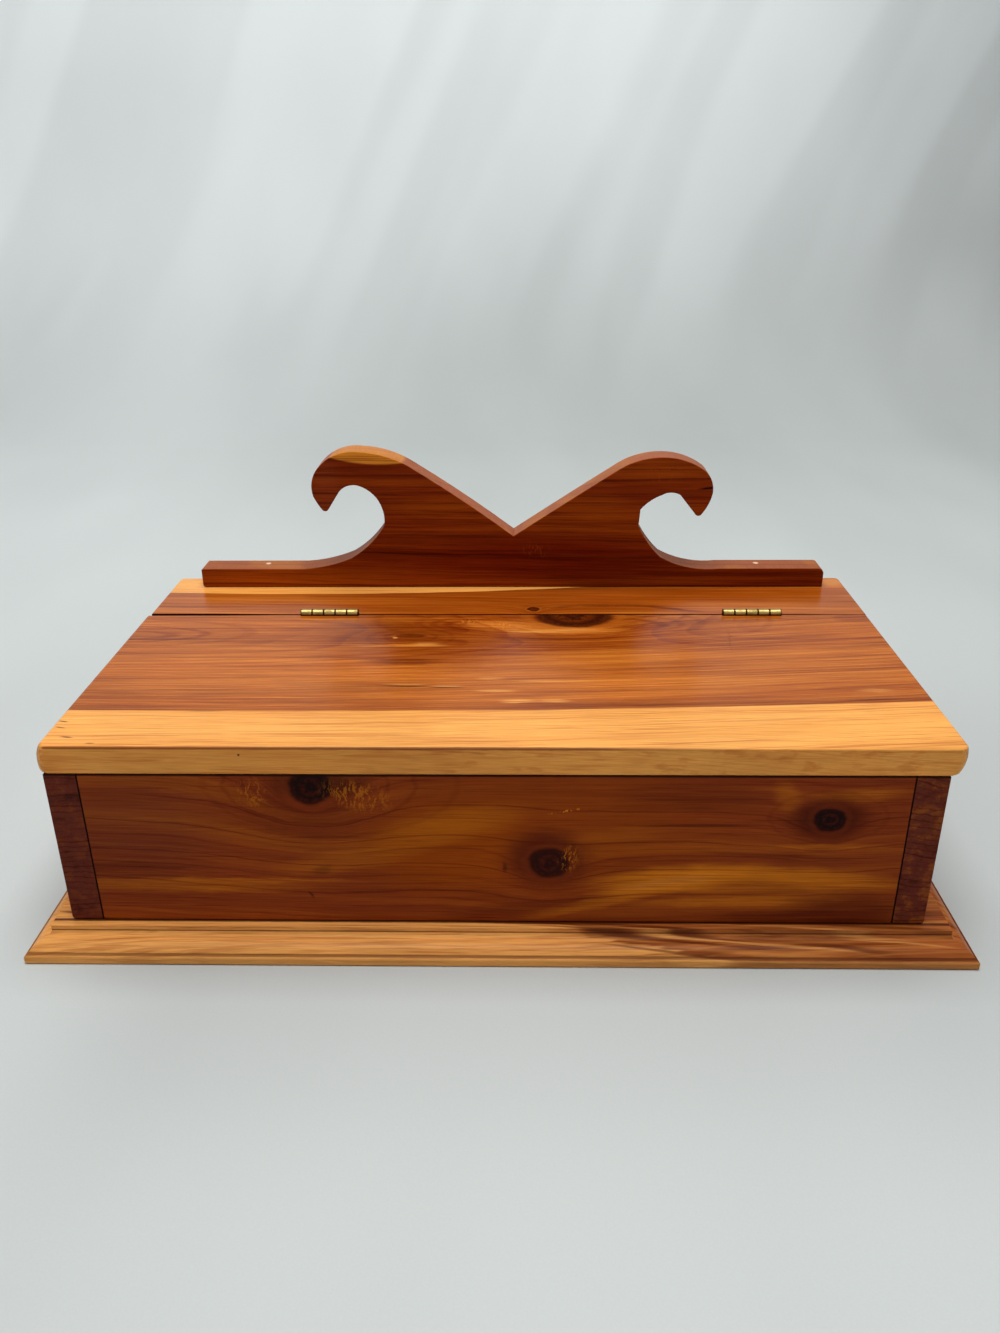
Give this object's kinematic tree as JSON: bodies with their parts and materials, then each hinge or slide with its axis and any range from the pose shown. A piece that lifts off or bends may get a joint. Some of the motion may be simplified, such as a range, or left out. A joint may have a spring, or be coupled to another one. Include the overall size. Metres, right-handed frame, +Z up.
{
  "type": "desk box",
  "caption": "Low rectangular wooden desk box with a hinged lid, a moulded base and, on a fixed strip behind the lid, a back board sawn into two facing scrolls.",
  "frame": {"origin": "bottom centre of the whole box, on the surface that it stands on", "axes": "+X to the right along the front, +Y from the front to the back, +Z up; the front faces -Y"},
  "size_m": [0.514, 0.2714, 0.2211],
  "materials": {
    "cedar_lid": "oiled aromatic cedar, orange-brown with pale sapwood and knots, satin",
    "cedar_panel": "oiled aromatic cedar, dark red-brown heartwood with orange streaks, satin",
    "cedar_base": "oiled aromatic cedar, pale to mid brown with a routed edge, satin",
    "cedar_scroll": "oiled aromatic cedar, dark heartwood face and lighter sawn edges, satin",
    "brass": "worn plated brass, darkened between the knuckles",
    "steel": "plain bright wire nails and wood screws"
  },
  "bodies": {
    "root": {"rear_strip": "cedar_lid", "base_plate": "cedar_base", "side_panel_left": "cedar_panel", "side_panel_right": "cedar_panel", "front_panel": "cedar_panel", "back_panel": "cedar_panel", "scroll_board": "cedar_scroll", "hinge_left_fixed_leaf": "brass", "hinge_left_pin": "brass", "hinge_right_fixed_leaf": "brass", "hinge_right_pin": "brass", "hinge_left_fixed_screws": "brass", "hinge_right_fixed_screws": "brass", "side_nails_left": "steel", "side_nails_right": "steel", "base_screws": "steel", "scroll_board_nails": "steel"},
    "lid": {"lid": "cedar_lid", "hinge_left_lid_leaf": "brass", "hinge_right_lid_leaf": "brass", "hinge_left_lid_screws": "brass", "hinge_right_lid_screws": "brass"}
  },
  "joints": [
    {"name": "lid_hinge", "type": "hinge", "parent": "root", "child": "lid", "pos_m": [0, 0.06445, 0.1257], "axis": [-1, 0, 0], "range_deg": [0, 118]}
  ]
}
